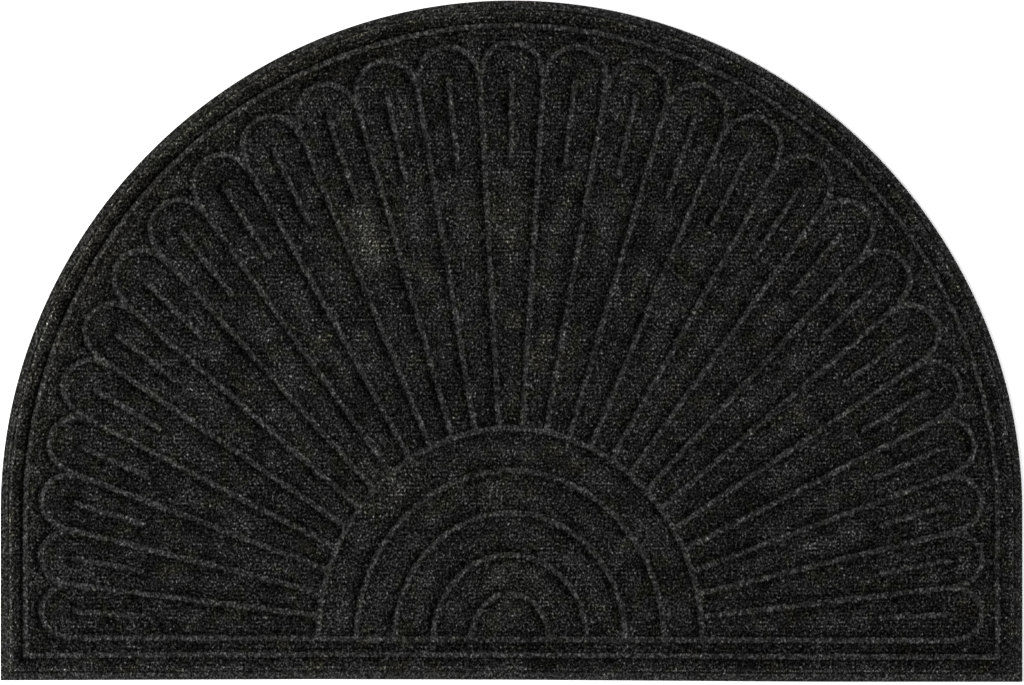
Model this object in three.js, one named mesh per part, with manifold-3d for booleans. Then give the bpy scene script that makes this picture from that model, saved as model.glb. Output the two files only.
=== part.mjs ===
// A half-round entrance mat in one piece: hot-pressed felt with a thin sealed rim, a frame line and
// a fan of round-ended flutes over half rings. Millimetres, +Z up, front edge towards -Y, origin under
// the middle of the mat's box.
import * as THREE from "three";
import { mergeVertices } from "three/addons/utils/BufferGeometryUtils.js";
import Module from "manifold-3d";

// Overall size: a half disc on a straight strip, 36 x 24 inches. Half way round from the sides to the
// back, the curve lies a little inside a true circle.
const WIDTH = 914.4;
const DEPTH = 609.6;
const THICKNESS = 8;
const CURVE_DRAW_IN = 1.15;

// The sealed rim all round, and the rounded shoulder where the felt rises from it.
const RIM_WIDTH = 7.6;
const RIM_HEIGHT = 3.2;
const SHOULDER_RISE = 2.4;
const SHOULDER_RUN = 2;

// A pressed channel: a flat floor between two sloping walls.
const CHANNEL_FLOOR = 4.6;
const CHANNEL_DEPTH = 3;
const CHANNEL_WALL_RUN = 2;

// The frame line follows the outline.
const FRAME_INSET = 22.5;

// The fan: its flutes spread from a point on the base line, and their round tips follow a half ellipse.
// The press sat a fifth of a degree askew on the blank.
const FAN_X = -1.4;
const FAN_RISE = 38.4;
const FAN_TURN = THREE.MathUtils.degToRad(-0.19);
const FLUTES = 27;
const SPREAD_STRETCH = 1.033;
const TIP_HALF_WIDTH = 420.2;
const TIP_RISE = 439.2;
const TIP_CENTRE_Y = -171.8;
const TIP_ROUND_SHARE = 0.945;
const VEIN_TIP_GAP = 30;
const VEIN_SHARE = 0.143;

// Half rings under the fan, evenly spaced and a little taller than they are wide. The smallest is
// taller again.
const RINGS = 5;
const RING_STEP_X = 34.3;
const RING_STEP_Y = 37.7;
const FIRST_RING_RISE = 3.3;

// The front edge isn't dead straight: how far it stands back from the box, along the mat.
const FRONT_LAY = [
  { x: -457.2, back: 1.3 },
  { x: -180, back: 2.3 },
  { x: 0, back: 1.9 },
  { x: 270, back: 0.1 },
  { x: 457.2, back: 0 },
];

// Facets: straight steps along the front and round the back, and curve divisions for the other arcs.
const LINE_STEPS = 12;
const OUTLINE_ARC_STEPS = 56;
const RING_ARC_STEPS = 14;
const TIP_ARC_STEPS = 5;

const FELT_COLOUR = 0x202020;
const FELT_ROUGHNESS = 0.95;

const RADIUS = WIDTH / 2;
const ARC_Y = DEPTH / 2 - RADIUS;
const FRONT_Y = -DEPTH / 2;
const FAN_Y = FRONT_Y + FAN_RISE;
const QUARTER_TURN = Math.PI / 2;

const wasm = await Module();
wasm.setup();

// How far the front edge stands back at x.
function frontBack(x) {
  const last = FRONT_LAY.length - 1;
  const next = FRONT_LAY.findIndex((row, i) => i > 0 && (x <= row.x || i === last));
  const [from, to] = [FRONT_LAY[next - 1], FRONT_LAY[next]];
  return THREE.MathUtils.lerp(from.back, to.back, (x - from.x) / (to.x - from.x));
}

// Turns a closed geometry into a solid.
function solidOf(geometry) {
  geometry.deleteAttribute("normal");
  geometry.deleteAttribute("uv");
  const merged = mergeVertices(geometry);
  return new wasm.Manifold(
    new wasm.Mesh({
      numProp: 3,
      vertProperties: merged.getAttribute("position").array,
      triVerts: new Uint32Array(merged.index.array),
    }),
  );
}

// The mat's outline drawn in by an inset: the sides straight, the back nearly a half circle.
function halfRound(path, inset) {
  const side = RADIUS - inset;
  const front = FRONT_Y + inset;
  path.moveTo(-side, front + frontBack(-side));
  for (let i = 1; i <= LINE_STEPS; i += 1) {
    const x = THREE.MathUtils.lerp(-side, side, i / LINE_STEPS);
    path.lineTo(x, front + frontBack(x));
  }
  for (let i = 0; i <= OUTLINE_ARC_STEPS; i += 1) {
    const angle = (i * Math.PI) / OUTLINE_ARC_STEPS;
    const radius = side - CURVE_DRAW_IN * Math.sin(2 * angle) ** 2;
    path.lineTo(radius * Math.cos(angle), ARC_Y + radius * Math.sin(angle));
  }
  path.closePath();
  return path;
}

// The pressed sheet that shows as the rim and runs on under the felt.
function rim() {
  return solidOf(
    new THREE.ExtrudeGeometry(halfRound(new THREE.Shape(), 0), {
      depth: RIM_HEIGHT,
      bevelEnabled: false,
    }),
  );
}

// The felt body: it stands in the rim with straight walls, then a shoulder leans in to the top.
function body() {
  const bottom = RIM_HEIGHT / 2;
  const geometry = new THREE.ExtrudeGeometry(halfRound(new THREE.Shape(), RIM_WIDTH), {
    depth: THICKNESS - bottom - 2 * SHOULDER_RISE,
    bevelThickness: SHOULDER_RISE,
    bevelSize: SHOULDER_RUN,
    bevelOffset: -SHOULDER_RUN,
    bevelSegments: 1,
  });
  return solidOf(geometry.translate(0, 0, bottom + SHOULDER_RISE));
}

// A cutter that presses a channel: its shape is the channel's floor, and its walls lean outwards.
function channel(shape, arcSteps) {
  const geometry = new THREE.ExtrudeGeometry(shape, {
    depth: CHANNEL_DEPTH,
    bevelThickness: CHANNEL_DEPTH,
    bevelSize: CHANNEL_WALL_RUN,
    bevelSegments: 1,
    curveSegments: arcSteps,
  });
  return solidOf(geometry.translate(0, 0, THICKNESS));
}

function frameLine() {
  const half = CHANNEL_FLOOR / 2;
  const shape = halfRound(new THREE.Shape(), FRAME_INSET - half);
  shape.holes.push(halfRound(new THREE.Path(), FRAME_INSET + half));
  return channel(shape, 1);
}

// A straight channel floor on a ray from the fan's point, from one distance to another.
function rayShape(angle, from, to) {
  const half = CHANNEL_FLOOR / 2;
  const fanPoint = new THREE.Vector2(FAN_X, FAN_Y);
  const corners = [
    [from, -half],
    [to, -half],
    [to, half],
    [from, half],
  ];
  return new THREE.Shape(
    corners.map(([along, across]) =>
      new THREE.Vector2(along, across).rotateAround(new THREE.Vector2(), angle).add(fanPoint),
    ),
  );
}

function ringShape(number) {
  const half = CHANNEL_FLOOR / 2;
  const x = number * RING_STEP_X;
  const y = number * RING_STEP_Y + (number === 1 ? FIRST_RING_RISE : 0);
  const shape = new THREE.Shape();
  shape.absellipse(FAN_X, FAN_Y, x + half, y + half, 0, Math.PI, false, FAN_TURN);
  shape.absellipse(FAN_X, FAN_Y, x - half, y - half, Math.PI, 0, true, FAN_TURN);
  shape.closePath();
  return shape;
}

// The direction of the line beside flute number i, counted from the right.
function dividerAngle(i) {
  const even = (i * Math.PI) / FLUTES;
  return Math.atan2(SPREAD_STRETCH * Math.sin(even), Math.cos(even)) + FAN_TURN;
}

// How far a ray runs to the half ellipse of the tips, which stands on straight sides.
function tipDistance(angle) {
  const across = Math.cos(angle);
  const up = Math.sin(angle);
  const drop = FAN_Y - TIP_CENTRE_Y;
  const a = (across / TIP_HALF_WIDTH) ** 2 + (up / TIP_RISE) ** 2;
  const b = (FAN_X * across) / TIP_HALF_WIDTH ** 2 + (drop * up) / TIP_RISE ** 2;
  const c = (FAN_X / TIP_HALF_WIDTH) ** 2 + (drop / TIP_RISE) ** 2 - 1;
  const onEllipse = (-b + Math.sqrt(b * b - a * c)) / a;
  if (drop + onEllipse * up >= 0) return onEllipse;
  return (Math.sign(across) * TIP_HALF_WIDTH - FAN_X) / across;
}

// One flute: the lines beside it, and a round tip that nearly touches both.
function flute(i) {
  const low = dividerAngle(i);
  const high = dividerAngle(i + 1);
  const axis = (low + high) / 2;
  const sine = Math.sin((high - low) / 2);
  const tip = tipDistance(axis);
  const radius = (TIP_ROUND_SHARE * tip * sine) / (1 + sine);
  return { low, high, axis, tip, radius, centre: tip - radius };
}

function tipShape({ low, high, axis, centre, radius }) {
  const half = CHANNEL_FLOOR / 2;
  const x = FAN_X + centre * Math.cos(axis);
  const y = FAN_Y + centre * Math.sin(axis);
  const [start, end] = [low - QUARTER_TURN, high + QUARTER_TURN];
  const shape = new THREE.Shape();
  shape.absarc(x, y, radius + half, start, end, false);
  shape.absarc(x, y, radius - half, end, start, true);
  shape.closePath();
  return shape;
}

// How far the outermost ring is from the fan's point in one direction.
function ringDistance(angle) {
  return RINGS / Math.hypot(Math.cos(angle) / RING_STEP_X, Math.sin(angle) / RING_STEP_Y);
}

function fanChannels() {
  const flutes = Array.from({ length: FLUTES }, (_, i) => flute(i));
  const reach = ({ centre, low, high }) => centre * Math.cos((high - low) / 2);
  const cutters = flutes.map((one) => channel(tipShape(one), TIP_ARC_STEPS));
  for (const { axis, tip } of flutes) {
    const end = tip - VEIN_TIP_GAP;
    cutters.push(channel(rayShape(axis, end - VEIN_SHARE * tip, end), 1));
  }
  for (let i = 1; i < FLUTES; i += 1) {
    const angle = dividerAngle(i);
    const end = Math.max(reach(flutes[i - 1]), reach(flutes[i]));
    cutters.push(channel(rayShape(angle, ringDistance(angle), end), 1));
  }
  for (let number = 1; number <= RINGS; number += 1) {
    cutters.push(channel(ringShape(number), RING_ARC_STEPS));
  }
  const [right, left] = [reach(flutes[0]), reach(flutes[FLUTES - 1])];
  cutters.push(channel(rayShape(FAN_TURN, -left, right), 1));
  return cutters;
}

function matGeometry() {
  let solid = rim().add(body());
  for (const cutter of [frameLine(), ...fanChannels()]) {
    solid = solid.subtract(cutter);
  }
  const { vertProperties, triVerts } = solid.getMesh();
  const geometry = new THREE.BufferGeometry();
  geometry.setAttribute("position", new THREE.BufferAttribute(vertProperties, 3));
  geometry.setIndex(new THREE.BufferAttribute(triVerts, 1));
  geometry.computeVertexNormals();
  return geometry;
}

const felt = new THREE.MeshStandardMaterial({
  color: FELT_COLOUR,
  roughness: FELT_ROUGHNESS,
  metalness: 0,
});
const mat = new THREE.Mesh(matGeometry(), felt);
mat.name = "mat";

const group = new THREE.Group();
group.add(mat);

export default group;
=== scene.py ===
# %% [markdown]
# # A half-round felt mat
# The real mat is a blanket of black and grey fibres. Barbed needles punch it into felt, and a hot press
# then melts the fibres together along narrow lines: the fan, the half rings, the frame line and the rim.
# What lies between the lines stays soft and swells a little, like a quilt.
#
# A solid model already holds the mat's outline, thickness and lines. It is loaded here as a fixed frame.
# One finer mesh then takes its place, with the lines as soft valleys and the fibres as a material.

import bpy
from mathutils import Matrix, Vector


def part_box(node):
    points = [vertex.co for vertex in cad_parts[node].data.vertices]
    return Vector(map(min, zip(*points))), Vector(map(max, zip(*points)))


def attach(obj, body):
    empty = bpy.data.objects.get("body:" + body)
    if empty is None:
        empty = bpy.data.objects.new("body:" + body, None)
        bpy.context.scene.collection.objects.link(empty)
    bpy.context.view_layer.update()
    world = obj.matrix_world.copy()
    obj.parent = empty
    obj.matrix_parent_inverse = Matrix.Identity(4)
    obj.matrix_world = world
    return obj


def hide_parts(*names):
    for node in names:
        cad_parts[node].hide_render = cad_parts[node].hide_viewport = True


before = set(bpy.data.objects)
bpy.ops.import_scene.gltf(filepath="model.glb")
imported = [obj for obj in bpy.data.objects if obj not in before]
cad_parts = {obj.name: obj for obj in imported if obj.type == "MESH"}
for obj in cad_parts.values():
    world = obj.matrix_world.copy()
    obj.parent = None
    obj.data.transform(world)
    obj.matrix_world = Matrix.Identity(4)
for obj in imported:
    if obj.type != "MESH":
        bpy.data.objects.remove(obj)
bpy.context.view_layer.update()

# %% Modules
import math

import bpy
import numpy as np
from mathutils import Vector, kdtree, noise
from mathutils.geometry import delaunay_2d_cdt

MM = 0.001

# %% [markdown]
# ## The outline
# Seen from above the mat is a half disc on a straight strip. Its size comes from the frame, so the
# finer mesh can't drift from the solid. Two small faults make it look made rather than drawn. The back
# lies a millimetre inside a true circle half way round. The front edge isn't dead straight: a short
# table says how far it stands back along its length, and the points between are interpolated.

# %% Outline
mat_low, mat_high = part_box("mat")
HALF_WIDTH = mat_high.x
FRONT_Y = mat_low.y
ARC_Y = mat_high.y - HALF_WIDTH
TOP_Z = mat_high.z
CURVE_DRAW_IN = 1.15 * MM

FRONT_LAY = [
    {"x": -457.2 * MM, "back": 1.3 * MM},
    {"x": -180.0 * MM, "back": 2.3 * MM},
    {"x": 0.0 * MM, "back": 1.9 * MM},
    {"x": 270.0 * MM, "back": 0.1 * MM},
    {"x": 457.2 * MM, "back": 0.0 * MM},
]


def column(table, name):
    return [row[name] for row in table]


def front_line(x):
    return FRONT_Y + np.interp(x, column(FRONT_LAY, "x"), column(FRONT_LAY, "back"))


def curve_radius(angle):
    return HALF_WIDTH - CURVE_DRAW_IN * np.sin(2 * angle) ** 2


def half_round(inset, step):
    """Points round the mat, an inset in from its edge. Every inset has as many points."""
    side = HALF_WIDTH - inset
    x = np.linspace(-side, side, round(2 * HALF_WIDTH / step) + 1)
    front = np.column_stack([x, front_line(x) + inset])
    rises = np.linspace(0, 1, round((ARC_Y - FRONT_Y) / step) + 1)[1:-1, None]
    right = front[-1] + rises * (np.array([side, ARC_Y]) - front[-1])
    turn = np.linspace(0, math.pi, round(math.pi * HALF_WIDTH / step) + 1)
    radius = curve_radius(turn) - inset
    arc = np.column_stack([radius * np.cos(turn), ARC_Y + radius * np.sin(turn)])
    left = arc[-1] + rises * (front[0] - arc[-1])
    return np.vstack([front, right, arc, left])


def edge_distance(points):
    x, y = points.T
    to_curve = curve_radius(np.arctan2(y - ARC_Y, x)) - np.hypot(x, y - ARC_Y)
    to_side = np.where(y > ARC_Y, to_curve, HALF_WIDTH - np.abs(x))
    return np.minimum(to_side, y - front_line(x))


LINE_STEP = 4 * MM
outline = half_round(0, LINE_STEP)
print("outline has", len(outline), "points")

# %% [markdown]
# ## The pressed lines
# The pattern is an old one for half-round mats: flutes with round ends spread like a fan over half
# rings. Each line is worked out rather than drawn. The dividers are rays from one point, the tips are
# circles that nearly touch two dividers, and the rings are half ellipses an even step apart. On this
# mat the press sat a fifth of a degree askew, so the whole fan is turned by that much.

# %% Fan
FRAME_INSET = 22.5 * MM
FAN = np.array([-1.4 * MM, FRONT_Y + 38.4 * MM])
FAN_TURN = math.radians(-0.19)
FLUTES = 27
SPREAD_STRETCH = 1.033
TIP_HALF_WIDTH = 420.2 * MM
TIP_RISE = 439.2 * MM
TIP_CENTRE_Y = -171.8 * MM
TIP_ROUND_SHARE = 0.945
VEIN_TIP_GAP = 30 * MM
VEIN_SHARE = 0.143
RINGS = 5
RING_STEP = np.array([34.3 * MM, 37.7 * MM])
FIRST_RING_RISE = np.array([0, 3.3 * MM])


def heading(angle):
    return np.array([np.cos(angle), np.sin(angle)]).T


def divider_angle(number):
    even = number * math.pi / FLUTES
    return math.atan2(SPREAD_STRETCH * math.sin(even), math.cos(even)) + FAN_TURN


def tip_distance(angle):
    """How far a ray from the fan's point runs to the half ellipse of the tips, or to its straight sides."""
    along = heading(angle)
    axes = np.array([TIP_HALF_WIDTH, TIP_RISE])
    start = (FAN - [0, TIP_CENTRE_Y]) / axes
    way = along / axes
    half_b = start @ way
    distance = (-half_b + math.sqrt(half_b**2 - way @ way * (start @ start - 1))) / (way @ way)
    if FAN[1] + distance * along[1] >= TIP_CENTRE_Y:
        return distance
    return (math.copysign(TIP_HALF_WIDTH, along[0]) - FAN[0]) / along[0]


# %% Lines of the fan
def ray(angle, start, end):
    steps = max(2, round((end - start) / LINE_STEP) + 1)
    return FAN + np.linspace(start, end, steps)[:, None] * heading(angle)


def bow(centre, size, start, end, turn=0.0):
    """Part of an ellipse, by its centre, half sizes and first and last angle."""
    steps = max(3, round(abs(end - start) * max(size) / LINE_STEP) + 1)
    flat = heading(np.linspace(start, end, steps)) * size
    across = heading(turn)
    up = heading(turn + math.pi / 2)
    return centre + flat[:, :1] * across + flat[:, 1:] * up


def flute_lines(number):
    """A flute's round tip and vein, and how far out its dividers run."""
    low, high = divider_angle(number), divider_angle(number + 1)
    axis = (low + high) / 2
    sine = math.sin((high - low) / 2)
    tip = tip_distance(axis)
    radius = TIP_ROUND_SHARE * tip * sine / (1 + sine)
    centre = FAN + (tip - radius) * heading(axis)
    cap = bow(centre, (radius, radius), low - math.pi / 2, high + math.pi / 2)
    vein_end = tip - VEIN_TIP_GAP
    vein = ray(axis, vein_end - VEIN_SHARE * tip, vein_end)
    return cap, vein, (tip - radius) * math.cos((high - low) / 2)


flutes = [flute_lines(number) for number in range(FLUTES)]
reach = [flute[2] for flute in flutes]
open_lines = [line for flute in flutes for line in flute[:2]]
for number in range(1, FLUTES):
    angle = divider_angle(number)
    ring_edge = RINGS / np.linalg.norm(heading(angle) / RING_STEP)
    open_lines.append(ray(angle, ring_edge, max(reach[number - 1], reach[number])))
for number in range(1, RINGS + 1):
    size = number * RING_STEP + (FIRST_RING_RISE if number == 1 else 0)
    open_lines.append(bow(FAN, size, 0, math.pi, FAN_TURN))
open_lines.append(ray(FAN_TURN, -reach[-1], reach[0]))
frame_line = half_round(FRAME_INSET, LINE_STEP)
print(len(open_lines), "open pressed lines and one closed frame line")

# %% [markdown]
# ## How high the felt stands
# Every height follows from two distances: to the nearest pressed line, and to the mat's edge. Near a
# line the felt leaves the flat floor steeply and then rounds off over a centimetre, as a quilt does.
# A table gives the border: a thin sealed rim with fine ribs, a notch, a round welt, and a crease
# beside the frame line. A k-d tree of points along the lines answers the first question quickly.

# %% Distance to the lines
SAMPLE_STEP = 0.4 * MM


def sampled(points):
    """The same line with points every SAMPLE_STEP."""
    run = np.concatenate([[0], np.cumsum(np.linalg.norm(np.diff(points, axis=0), axis=1))])
    at = np.linspace(0, run[-1], math.ceil(run[-1] / SAMPLE_STEP) + 1)
    return np.column_stack([np.interp(at, run, points[:, 0]), np.interp(at, run, points[:, 1])])


closed_frame_line = np.vstack([frame_line, frame_line[:1]])
line_samples = np.vstack([sampled(line) for line in open_lines + [closed_frame_line]])
line_tree = kdtree.KDTree(len(line_samples))
for index, (x, y) in enumerate(line_samples):
    line_tree.insert((x, y, 0), index)
line_tree.balance()


def line_distance(points):
    return np.array([line_tree.find((x, y, 0))[2] for x, y in points])


print("pressed lines:", round(len(line_samples) * SAMPLE_STEP, 2), "m in all")

# %% Heights
FLOOR_Z = TOP_Z - 3 * MM
FLOOR_HALF = 2.2 * MM
PILLOW_REACH = 12 * MM
PILLOW_POWER = 2.6

BORDER = [
    {"inset": 0.0 * MM, "height": 1.6 * MM},
    {"inset": 0.5 * MM, "height": 2.2 * MM},
    {"inset": 1.2 * MM, "height": 2.5 * MM},
    {"inset": 2.1 * MM, "height": 2.1 * MM},
    {"inset": 3.1 * MM, "height": 2.9 * MM},
    {"inset": 4.4 * MM, "height": 2.4 * MM},
    {"inset": 5.7 * MM, "height": 3.3 * MM},
    {"inset": 6.9 * MM, "height": 3.0 * MM},
    {"inset": 7.7 * MM, "height": 2.7 * MM},
    {"inset": 8.3 * MM, "height": 4.4 * MM},
    {"inset": 8.8 * MM, "height": 6.3 * MM},
    {"inset": 9.6 * MM, "height": 7.6 * MM},
    {"inset": 10.8 * MM, "height": 8.0 * MM},
    {"inset": 13.0 * MM, "height": 8.0 * MM},
    {"inset": 16.0 * MM, "height": 7.8 * MM},
    {"inset": 17.8 * MM, "height": 7.5 * MM},
    {"inset": 18.8 * MM, "height": 6.8 * MM},
    {"inset": 19.4 * MM, "height": 5.3 * MM},
    {"inset": 19.9 * MM, "height": 4.6 * MM},
    {"inset": 20.6 * MM, "height": 5.0 * MM},
]
BORDER_WIDTH = BORDER[-1]["inset"]


def felt_height(to_line, to_edge):
    swell = np.clip((to_line - FLOOR_HALF) / (PILLOW_REACH - FLOOR_HALF), 0, 1)
    pillow = FLOOR_Z + (TOP_Z - FLOOR_Z) * (1 - (1 - swell) ** PILLOW_POWER)
    border = np.interp(to_edge, column(BORDER, "inset"), column(BORDER, "height"))
    return np.where(to_edge < BORDER_WIDTH, border, pillow)


print("floor of a line is", round(FLOOR_Z / MM, 1), "mm up, the felt", round(TOP_Z / MM, 1), "mm")

# %% [markdown]
# ## Points where the shape needs them
# A plain grid fine enough for the lines would waste most of its faces on flat felt. So the points
# follow the shape. Rails run along the middle of every line and beside it, close together where the
# wall is steep. Others run round the border at each step of its table and half way between, because
# smooth shading hides a rib whose only corners are at its crest and its foot. A loose net fills the
# rest. A rail point is kept only where no other line is nearer, so rails stop where lines meet.

# %% Rails
RAILS = np.array([0, 2.1, 2.8, 3.7, 4.9, 6.5, 8.6, 11.2]) * MM
KEEP_SLACK = 0.15 * MM
NET_STEP = 6 * MM
END_TURNS = np.radians([-90, -54, -18, 18, 54, 90])


def rail_points(points, closed):
    """Points along a line, on both sides of it, and round its two ends where it is open."""
    padded = np.vstack([points[-1:], points, points[:1]]) if closed else points
    along = np.gradient(padded, axis=0)[1:-1] if closed else np.gradient(points, axis=0)
    along /= np.linalg.norm(along, axis=1)[:, None]
    normal = np.column_stack([-along[:, 1], along[:, 0]])
    beside = [points + side * rail * normal for rail in RAILS for side in (-1, 1)]
    if closed:
        return beside
    for end, way in ((points[0], -along[0]), (points[-1], along[-1])):
        angle = math.atan2(way[1], way[0])
        beside += [end + rail * heading(angle + END_TURNS) for rail in RAILS]
    return beside


def net(step):
    """A net of triangles over the mat's box."""
    rows = np.arange(FRONT_Y, mat_high.y, step * math.sqrt(3) / 2)
    across = np.arange(-HALF_WIDTH, HALF_WIDTH, step)
    return np.vstack([np.column_stack([across + step / 2 * (i % 2), np.full(len(across), y)])
                      for i, y in enumerate(rows)])


beside_lines = rail_points(frame_line, True)
for line in open_lines:
    beside_lines += rail_points(line, False)
beside_lines = np.vstack(beside_lines)
offsets = line_distance(beside_lines)
nearest_rail = np.abs(offsets[:, None] - RAILS).min(axis=1)
kept = beside_lines[(nearest_rail < KEEP_SLACK) & (edge_distance(beside_lines) > BORDER_WIDTH + KEEP_SLACK)]
loose = net(NET_STEP)
loose = loose[edge_distance(loose) > BORDER_WIDTH]
loose = loose[line_distance(loose) > RAILS[-1] + NET_STEP / 3]
print(len(kept), "rail points and", len(loose), "loose ones")

steps = np.array(column(BORDER, "inset"))
border_insets = np.sort(np.concatenate([steps[1:], (steps[1:] + steps[:-1]) / 2]))
border_rails = [half_round(inset, LINE_STEP) for inset in border_insets]
print(len(border_rails), "rails round the border")

# %% [markdown]
# ## The mesh
# Blender's constrained Delaunay triangulation joins the points into well-shaped triangles inside the
# outline. Each corner is then lifted to its height. A little slow noise makes the top as uneven as
# felt is. The underside gets a coarse net of its own, and a band of quads closes the edge.

# %% Triangles
MERGE = 0.3 * MM
SLIVER = 0.05 * MM
UNDER_STEP = 25 * MM


def triangles(outline, inside):
    """Corners and triangles, with the outline's corners first. Slivers outside a dented edge are dropped."""
    points = [Vector(p) for p in np.vstack([outline, inside])]
    ring = [(i, (i + 1) % len(outline)) for i in range(len(outline))]
    corners, _, faces, origins, _, _ = delaunay_2d_cdt(points, ring, [], 0, MERGE, True)
    order = np.argsort([min(origin, default=len(points)) for origin in origins], kind="stable")
    place = np.argsort(order)
    corners, faces = np.array(corners)[order], place[np.array(faces)]
    middles = corners[faces].mean(axis=1)
    return corners, faces[edge_distance(middles) > SLIVER].tolist()


top, top_faces = triangles(outline, np.vstack(border_rails + [kept, loose]))
under_net = net(UNDER_STEP)
under_net = under_net[edge_distance(under_net) > UNDER_STEP / 3]
under, under_faces = triangles(outline, under_net)
print(len(top_faces), "triangles on top and", len(under_faces), "below")

# %% Heights of the corners
LUMP_SIZE = 22 * MM
LUMP_HEIGHT = 0.12 * MM
WANDER_SIZE = 7 * MM
WANDER = 0.45 * MM


def slow_noise(points, size):
    """Noise from -1 to 1 that changes over about this size."""
    return np.array([noise.noise((x / size, y / size, 0)) for x, y in points])


wander = WANDER * slow_noise(top, WANDER_SIZE)
to_line, to_edge = np.abs(line_distance(top) + wander), edge_distance(top)
lumps = LUMP_HEIGHT * slow_noise(top, LUMP_SIZE) * np.clip(to_edge / BORDER_WIDTH, 0, 1)
height = felt_height(to_line, to_edge) + lumps
print("top lies from", round(height.min() / MM, 2), "to", round(height.max() / MM, 2), "mm up")

# %% [markdown]
# ## Dust and cast
# This mat isn't evenly black. A few patches the size of a palm are dusty and pale, and the border has
# an olive cast round its upper left. Both are soft and slow, so they need no texture: each corner of
# the mesh stores a share of each, and the material reads it. A table places the patches, and noise
# makes their edges uneven.

# %% Dust and cast
DUST = [
    {"x": -130 * MM, "y": 92 * MM, "reach": 27 * MM, "paler": 0.60},
    {"x": -7 * MM, "y": 109 * MM, "reach": 24 * MM, "paler": 0.50},
    {"x": -108 * MM, "y": -132 * MM, "reach": 27 * MM, "paler": 0.40},
    {"x": -12 * MM, "y": -130 * MM, "reach": 22 * MM, "paler": 0.35},
    {"x": -3 * MM, "y": -216 * MM, "reach": 24 * MM, "paler": 0.35},
]
DUST_UNEVEN_SIZE = 14 * MM
DUST_UNEVEN = 0.5
CAST = 0.9
CAST_TURN = math.radians(135)
CAST_SPREAD = math.radians(42)
CAST_REACH = 55 * MM


def dust_at(points):
    """How much paler than clean felt each point is, as a share."""
    uneven = 1 + DUST_UNEVEN * slow_noise(points, DUST_UNEVEN_SIZE)
    share = np.zeros(len(points))
    for row in DUST:
        away = np.linalg.norm(points - [row["x"], row["y"]], axis=1) * uneven
        share += row["paler"] * np.exp(-((away / row["reach"]) ** 2))
    return share


def cast_at(points):
    """How olive each point is, as a share: most at the edge, round the upper left."""
    turn = np.arctan2(points[:, 1] - ARC_Y, points[:, 0]) % (2 * math.pi)
    along = np.exp(-(((turn - CAST_TURN) / CAST_SPREAD) ** 2))
    return CAST * along * np.clip(1 - edge_distance(points) / CAST_REACH, 0, 1)


dust, cast = dust_at(top), cast_at(top)
print("dustiest corner is", round(100 * dust.max()), "percent paler")

# %% Mat
SHARP_ANGLE = math.radians(65)

first_under = len(top)
rim_count = len(outline)
corners = np.vstack([np.column_stack([top, height]), np.column_stack([under, np.zeros(len(under))])])
side_faces = []
for i in range(rim_count):
    after = (i + 1) % rim_count
    side_faces.append([first_under + i, first_under + after, after, i])
under_faces = [[first_under + i for i in reversed(face)] for face in under_faces]

mesh = bpy.data.meshes.new("felt_mat")
mesh.from_pydata(corners.tolist(), [], top_faces + side_faces + under_faces)
stored_values = {"line_distance": to_line, "edge_distance": to_edge, "dust": dust, "cast": cast}
for name, values in stored_values.items():
    whole = np.concatenate([values, np.zeros(len(under))])
    mesh.attributes.new(name, "FLOAT", "POINT").data.foreach_set("value", whole)
mesh.polygons.foreach_set("use_smooth", [True] * len(mesh.polygons))
material_slots = [0] * (len(top_faces) + rim_count) + [1] * len(under_faces)
mesh.polygons.foreach_set("material_index", material_slots)
mesh.set_sharp_from_angle(angle=SHARP_ANGLE)
felt_mat = bpy.data.objects.new("felt_mat", mesh)
bpy.context.collection.objects.link(felt_mat)
print("felt_mat:", len(corners), "corners,", len(mesh.polygons), "faces")

# %% [markdown]
# ## Felt as a material
# From above, needle felt is a tangle of short strands, paler and darker, in tufts and clumps of every
# size, with faint rows where the needles passed. A strand is a noise stretched in one direction, and
# the strands on top hide the others, so the strand layer is the highest of four such noises. Measured
# brightness spreads like a log-normal curve, so all the parts are added up and then raised by the
# exponential. Both sides of the mat need this, each with its own strengths, so it is a node group
# with named inputs. The same sum, before the exponential, is the height for a bump.

# %% Node helper
def add_node(tree, kind, inputs=None, **settings):
    """A new node with its settings, whose inputs are linked to sockets or set to constants."""
    made = tree.nodes.new(kind)
    for name, value in settings.items():
        setattr(made, name, value)
    for name, value in (inputs or {}).items():
        if isinstance(value, bpy.types.NodeSocket):
            tree.links.new(value, made.inputs[name])
        else:
            made.inputs[name].default_value = value
    return made


def maths(tree, operation, *values):
    return add_node(tree, "ShaderNodeMath", dict(enumerate(values)), operation=operation).outputs[0]


def vector_maths(tree, operation, *values):
    return add_node(tree, "ShaderNodeVectorMath", dict(enumerate(values)), operation=operation).outputs[0]


# %% Needle felt group
STRAND_LENGTH = 5 * MM
STRAND_WIDTH = 1 * MM
STRAND_ANGLES = (84, 99, 124, 52)
STRAND_SHIFT = Vector((0.3, 0.2, 0))
STRAND_MIDDLE = 0.62
NOISE_MIDDLE = 0.5
BEND_SIZE = 5 * MM
BEND = 1.6 * MM
TUFT_SIZE = 2 * MM
CLUMP_SIZE = 15 * MM
ROW_PITCH = 3.65 * MM


def noise_node(tree, place, size, detail=0.0, output="Fac", **settings):
    inputs = {"Vector": place, "Scale": 1 / size, "Detail": detail}
    return add_node(tree, "ShaderNodeTexNoise", inputs, **settings).outputs[output]


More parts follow.
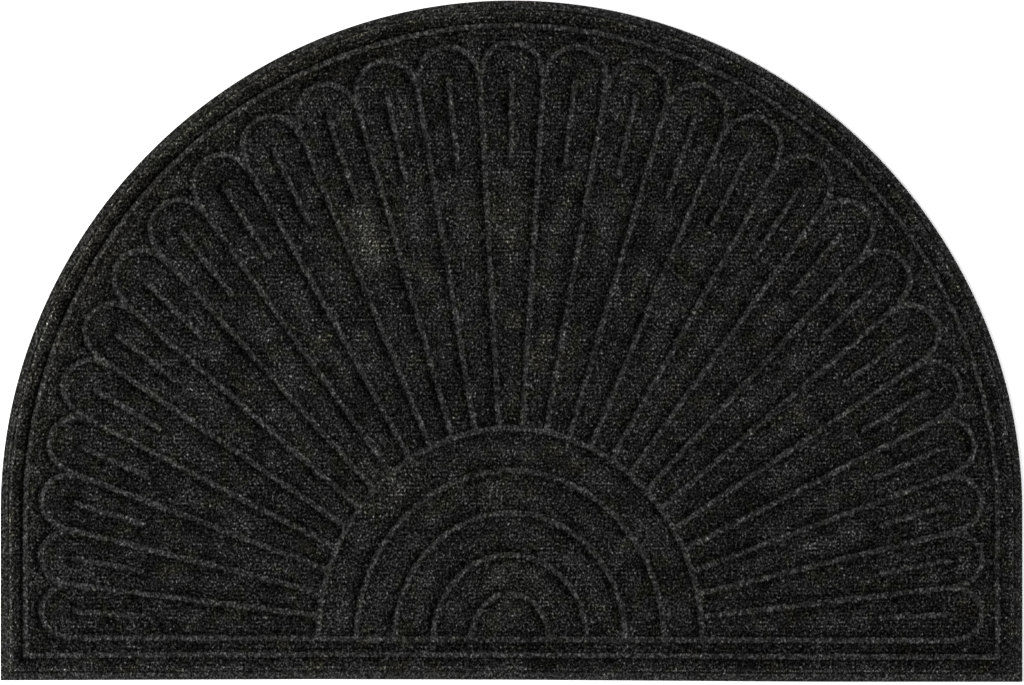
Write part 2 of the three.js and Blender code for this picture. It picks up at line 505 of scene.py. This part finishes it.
def strand_layer(tree, place):
    """The highest of four noises, each stretched along its own direction."""
    layer = None
    stretch = (STRAND_WIDTH / STRAND_LENGTH, 1, 0)
    for number, angle in enumerate(STRAND_ANGLES):
        shift = number * STRAND_SHIFT
        turn = (0, 0, math.radians(angle))
        inputs = {"Vector": place, "Location": shift, "Rotation": turn}
        turned = add_node(tree, "ShaderNodeMapping", inputs).outputs[0]
        stretched = vector_maths(tree, "MULTIPLY", turned, stretch)
        strand = noise_node(tree, stretched, STRAND_WIDTH, 1.0, noise_dimensions="2D")
        layer = maths(tree, "MAXIMUM", layer, strand) if layer else strand
    return layer


def needle_felt_group():
    group = bpy.data.node_groups.new("needle felt", "ShaderNodeTree")
    for name in ("Strand contrast", "Tuft contrast", "Clump contrast", "Row contrast"):
        group.interface.new_socket(name, in_out="INPUT", socket_type="NodeSocketFloat")
    for name in ("Tone", "Height"):
        group.interface.new_socket(name, in_out="OUTPUT", socket_type="NodeSocketFloat")
    given = add_node(group, "NodeGroupInput").outputs
    place = add_node(group, "ShaderNodeTexCoord").outputs["Object"]
    bend_noise = noise_node(group, place, BEND_SIZE, 1.0, "Color")
    shift = vector_maths(group, "SUBTRACT", bend_noise, [NOISE_MIDDLE] * 3)
    bent = vector_maths(group, "MULTIPLY_ADD", shift, (BEND, BEND, 0), place)
    up_the_mat = add_node(group, "ShaderNodeSeparateXYZ", {0: bent}).outputs["Y"]
    row_phase = maths(group, "MULTIPLY", up_the_mat, 2 * math.pi / ROW_PITCH)
    parts = {
        "Strand contrast": maths(group, "SUBTRACT", strand_layer(group, bent), STRAND_MIDDLE),
        "Tuft contrast": maths(group, "SUBTRACT", noise_node(group, place, TUFT_SIZE), NOISE_MIDDLE),
        "Clump contrast": maths(group, "SUBTRACT", noise_node(group, place, CLUMP_SIZE, 1.0), NOISE_MIDDLE),
        "Row contrast": maths(group, "SINE", row_phase),
    }
    total = 0.0
    for name, part in parts.items():
        total = maths(group, "MULTIPLY_ADD", part, given[name], total)
    add_node(group, "NodeGroupOutput", {"Tone": maths(group, "EXPONENT", total), "Height": total})
    return group


needle_felt = needle_felt_group()
print("node group:", needle_felt.name, "with", len(needle_felt.nodes), "nodes")

# %% [markdown]
# ## The face
# The face is felt in two states, so it uses the group twice. In the open it is loose pile. On the floor
# of a pressed line and on the rim the fibres have melted into a smoother skin, paler partly in its own
# colour and partly by a painted sheen; on the rim's ribs the crests get a painted highlight and the
# valleys painted shade. Two distances stored on the mesh say which is where, made a little ragged so
# that single fibres cross over. The pile gets painted shade beside a line, where its wall stands steep
# and deep, and is painted lighter towards the middle of each pillow; the welt gets a painted highlight
# and the crease beside the frame line painted shade: two ramps read that from tables. Slow noises add
# cloudy patches and the olive tint of mixed fibres.

# %% Tone ramps
RAMP_GAIN = 5.0

# Painted shade: the pile darkens towards a line's steep wall and grows lighter towards a pillow's middle.
LINE_SHADE_TONES = [
    {"at": 0.0 * MM, "tone": 0.70},
    {"at": 2.6 * MM, "tone": 0.62},
    {"at": 4.5 * MM, "tone": 0.54},
    {"at": 7.0 * MM, "tone": 0.65},
    {"at": 9.0 * MM, "tone": 0.76},
    {"at": 13.5 * MM, "tone": 0.92},
    {"at": 17.5 * MM, "tone": 1.05},
    {"at": 25.0 * MM, "tone": 1.18},
]
# Painted light on the border: a painted highlight on the welt, about 9.6 mm in, and painted shade in the
# crease beside the frame line, at about 19.6 mm.
EDGE_LIGHT_AND_SHADE_TONES = [
    {"at": 0.0 * MM, "tone": 1.2},
    {"at": 7.7 * MM, "tone": 1.1},
    {"at": 8.7 * MM, "tone": 1.6},
    {"at": 9.6 * MM, "tone": 2.5},
    {"at": 10.8 * MM, "tone": 1.6},
    {"at": 12.5 * MM, "tone": 1.05},
    {"at": 18.4 * MM, "tone": 1.0},
    {"at": 19.6 * MM, "tone": 0.65},
    {"at": 20.8 * MM, "tone": 1.0},
]
# The melted skin: paler partly in its own colour and partly by a painted sheen. Along the rim the rib crests
# get a painted highlight and the valleys painted shade.
SKIN_AND_SHEEN_TONES = [
    {"at": 0.0 * MM, "tone": 2.3},
    {"at": 1.2 * MM, "tone": 2.3},
    {"at": 2.1 * MM, "tone": 1.7},
    {"at": 3.1 * MM, "tone": 2.4},
    {"at": 4.4 * MM, "tone": 1.7},
    {"at": 5.7 * MM, "tone": 2.3},
    {"at": 6.9 * MM, "tone": 1.7},
    {"at": 9.0 * MM, "tone": 2.15},
]
RAGGED_SIZE = 2.2 * MM


def stored(tree, attribute):
    return add_node(tree, "ShaderNodeAttribute", attribute_name=attribute).outputs["Fac"]


def frayed(tree, attribute, fray):
    """A stored distance with its lines of equal distance made ragged by noise."""
    distance = stored(tree, attribute)
    place = add_node(tree, "ShaderNodeTexCoord").outputs["Object"]
    ragged = maths(tree, "SUBTRACT", noise_node(tree, place, RAGGED_SIZE, 1.0), NOISE_MIDDLE)
    return maths(tree, "ABSOLUTE", maths(tree, "MULTIPLY_ADD", ragged, fray, distance))


def tone_ramp(tree, distance, tones):
    """The tone at a distance, read from a table by a colour ramp."""
    reach = tones[-1]["at"]
    ramp = add_node(tree, "ShaderNodeValToRGB", {"Fac": maths(tree, "DIVIDE", distance, reach)})
    stops = ramp.color_ramp.elements
    while len(stops) < len(tones):
        stops.new(1.0)
    for stop, row in zip(stops, tones):
        stop.position = row["at"] / reach
        level = row["tone"] / RAMP_GAIN
        stop.color = (level, level, level, 1)
    return maths(tree, "MULTIPLY", ramp.outputs["Color"], RAMP_GAIN)


def between(tree, value, low, high, at_low, at_high):
    """A value that goes from one number to another as the input goes from low to high."""
    inputs = {"Value": value, "From Min": low, "From Max": high, "To Min": at_low, "To Max": at_high}
    return add_node(tree, "ShaderNodeMapRange", inputs).outputs["Result"]


# %% Felt shader
BUMP_DEPTH = 0.05 * MM
FELT_ROUGHNESS = 0.95


def fleck_node(tree, contrasts):
    """The needle felt group with these contrasts."""
    fleck = add_node(tree, "ShaderNodeGroup", node_tree=needle_felt)
    for socket, value in contrasts.items():
        fleck.inputs[socket].default_value = value
    return fleck


def felt_shader(name, contrasts):
    """A rough material with the felt's bump. Returns the material, its shader and the felt group."""
    material = bpy.data.materials.new(name)
    material.use_nodes = True
    tree = material.node_tree
    shader = tree.nodes["Principled BSDF"]
    shader.inputs["Roughness"].default_value = FELT_ROUGHNESS
    shader.inputs["Specular IOR Level"].default_value = 0.0
    fleck = fleck_node(tree, contrasts)
    bump = add_node(tree, "ShaderNodeBump", {"Height": fleck.outputs["Height"], "Distance": BUMP_DEPTH})
    tree.links.new(bump.outputs["Normal"], shader.inputs["Normal"])
    return material, shader, fleck


# %% Face material
CHARCOAL = (0.0066, 0.0066, 0.0066, 1)
OLIVE = (0.0069, 0.0068, 0.0054, 1)
OLIVE_PATCH = 18 * MM
OLIVE_NOISE = (0.56, 0.70)
SKIN_OLIVE = 0.4
CLOUD_SIZE = 45 * MM
CLOUD_NOISE = (0.3, 0.7)
CLOUD_TONES = (0.85, 1.15)
PILE_CONTRASTS = {"Strand contrast": 8.4, "Tuft contrast": 5.6, "Clump contrast": 2.2, "Row contrast": 0.25}
SKIN_CONTRASTS = {"Strand contrast": 6.5, "Tuft contrast": 4.0, "Clump contrast": 0.5, "Row contrast": 0.1}
LINE_SKIN = (1.8 * MM, 2.7 * MM)
RIM_SKIN = (6.4 * MM, 7.7 * MM)
LINE_FRAY = 1.6 * MM
EDGE_FRAY = 1.2 * MM


def product(tree, first, *others):
    for factor in others:
        first = maths(tree, "MULTIPLY", first, factor)
    return first


def face_tint(tree, place, melted):
    """Charcoal, and olive in patches, dust and cast. Melted skin shows less of it."""
    patches = between(tree, noise_node(tree, place, OLIVE_PATCH, 1.0), *OLIVE_NOISE, 0, 1)
    for share in (stored(tree, "dust"), stored(tree, "cast")):
        patches = maths(tree, "ADD", patches, share)
    olive_share = product(tree, patches, between(tree, melted, 0, 1, 1, SKIN_OLIVE))
    tint = add_node(tree, "ShaderNodeMix", {"Factor": olive_share}, data_type="RGBA")
    tint.inputs["A"].default_value = CHARCOAL
    tint.inputs["B"].default_value = OLIVE
    return tint.outputs["Result"]


def face_material():
    material, shader, pile = felt_shader("felt face", PILE_CONTRASTS)
    tree = material.node_tree
    place = add_node(tree, "ShaderNodeTexCoord").outputs["Object"]
    to_line = frayed(tree, "line_distance", LINE_FRAY)
    to_edge = frayed(tree, "edge_distance", EDGE_FRAY)
    clouds = between(tree, noise_node(tree, place, CLOUD_SIZE, 1.0), *CLOUD_NOISE, *CLOUD_TONES)
    paler = maths(tree, "ADD", stored(tree, "dust"), 1)
    # The pile's tone carries painted shade beside the lines and painted light and shade on the border.
    pile_tone = product(tree, clouds, paler, pile.outputs["Tone"],
                        tone_ramp(tree, to_line, LINE_SHADE_TONES), tone_ramp(tree, to_edge, EDGE_LIGHT_AND_SHADE_TONES))
    skin = fleck_node(tree, SKIN_CONTRASTS)
    # The skin's tone carries its painted sheen and the painted light and shade of the rim's ribs.
    skin_tone = product(tree, skin.outputs["Tone"], tone_ramp(tree, to_edge, SKIN_AND_SHEEN_TONES))
    on_line = between(tree, to_line, *LINE_SKIN, 1, 0)
    on_rim = between(tree, to_edge, *RIM_SKIN, 1, 0)
    melted = maths(tree, "MAXIMUM", on_line, on_rim)
    mix = add_node(tree, "ShaderNodeMix", {"Factor": melted, "A": pile_tone, "B": skin_tone})
    colour = add_node(tree, "ShaderNodeVectorMath", {0: face_tint(tree, place, melted),
                                                     "Scale": mix.outputs["Result"]}, operation="SCALE")
    tree.links.new(colour.outputs["Vector"], shader.inputs["Base Color"])
    return material


felt_face = face_material()
print("face material:", len(felt_face.node_tree.nodes), "nodes")

# %% [markdown]
# ## The underside
# The back isn't in view. Needle felt is plain there: flatter, finer and a little duller than the face.

# %% Back material
BACK_COLOUR = (0.0085, 0.0085, 0.0085)
BACK_CONTRASTS = {"Strand contrast": 5.0, "Tuft contrast": 3.0, "Clump contrast": 2.0, "Row contrast": 0.3}


def back_material():
    material, shader, fleck = felt_shader("felt back", BACK_CONTRASTS)
    tree = material.node_tree
    colour = add_node(tree, "ShaderNodeVectorMath", {0: BACK_COLOUR, "Scale": fleck.outputs["Tone"]},
                      operation="SCALE")
    tree.links.new(colour.outputs["Vector"], shader.inputs["Base Color"])
    return material


felt_back = back_material()
mesh.materials.append(felt_face)
mesh.materials.append(felt_back)
print("materials:", [material.name for material in mesh.materials])

# %% [markdown]
# ## Floor, light and camera
# The camera looks straight down from far off with a long lens, so the outline isn't bent. Light comes
# from a big soft lamp low on the left, which models the lines, and from an even white sky that fills
# their shadows. A small lamp on the right only clears the mat's shadow off the white floor.

# %% Floor
FLOOR_SIDE = 12
FLOOR_WHITE = (0.95, 0.95, 0.95, 1)
FLOOR_ROUGHNESS = 0.8
FLOOR_DROP = 0.2 * MM

floor_mesh = bpy.data.meshes.new("floor")
half = FLOOR_SIDE / 2
floor_corners = [(x, y, -FLOOR_DROP) for x, y in ((-half, -half), (half, -half), (half, half), (-half, half))]
floor_mesh.from_pydata(floor_corners, [], [(0, 1, 2, 3)])
floor = bpy.data.objects.new("floor", floor_mesh)
bpy.context.collection.objects.link(floor)
floor_paint = bpy.data.materials.new("floor paint")
floor_paint.use_nodes = True
floor_shader = floor_paint.node_tree.nodes["Principled BSDF"]
floor_shader.inputs["Base Color"].default_value = FLOOR_WHITE
floor_shader.inputs["Roughness"].default_value = FLOOR_ROUGHNESS
floor_mesh.materials.append(floor_paint)
print("floor:", FLOOR_SIDE, "m square")

# %% Light
SKY_STRENGTH = 0.37
LAMPS = [
    {"name": "left lamp", "place": (-2.3, -0.1, 1.6), "size": 1.2, "power": 158},
    {"name": "right lamp", "place": (1.3, 0.1, 0.7), "size": 0.6, "power": 13},
]

world = bpy.data.worlds.new("soft sky")
world.use_nodes = True
sky = world.node_tree.nodes["Background"]
sky.inputs["Color"].default_value = (1, 1, 1, 1)
sky.inputs["Strength"].default_value = SKY_STRENGTH
bpy.context.scene.world = world


def add_lamp(name, place, size, power):
    """A square lamp that faces the middle of the mat."""
    data = bpy.data.lights.new(name, "AREA")
    data.size = size
    data.energy = power
    lamp = bpy.data.objects.new(name, data)
    lamp.location = place
    lamp.rotation_mode = "QUATERNION"
    lamp.rotation_quaternion = (-Vector(place)).to_track_quat("-Z", "Y")
    lamp.visible_camera = False
    bpy.context.collection.objects.link(lamp)


for row in LAMPS:
    add_lamp(**row)
print("lamps:", [row["name"] for row in LAMPS])

# %% Camera
IMAGE_WIDTH = 1024
PIXELS_PER_METRE = 1116.9
CAMERA_AIM = (0.5 * MM, -1.2 * MM)
CAMERA_HEIGHT = 3.0

camera_data = bpy.data.cameras.new("camera")
camera_data.sensor_width = 36
camera_data.lens = camera_data.sensor_width * CAMERA_HEIGHT / (IMAGE_WIDTH / PIXELS_PER_METRE)
camera = bpy.data.objects.new("camera", camera_data)
camera.location = (*CAMERA_AIM, CAMERA_HEIGHT)
bpy.context.collection.objects.link(camera)
bpy.context.scene.camera = camera
bpy.context.scene.view_settings.view_transform = "Standard"
print("lens:", round(camera_data.lens, 1), "mm")

# %% [markdown]
# ## Handing over
# The mat rides on the solid's one body and stands in for it.

# %% Finish
x, y = outline.T
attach(felt_mat, "root")
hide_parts("mat")
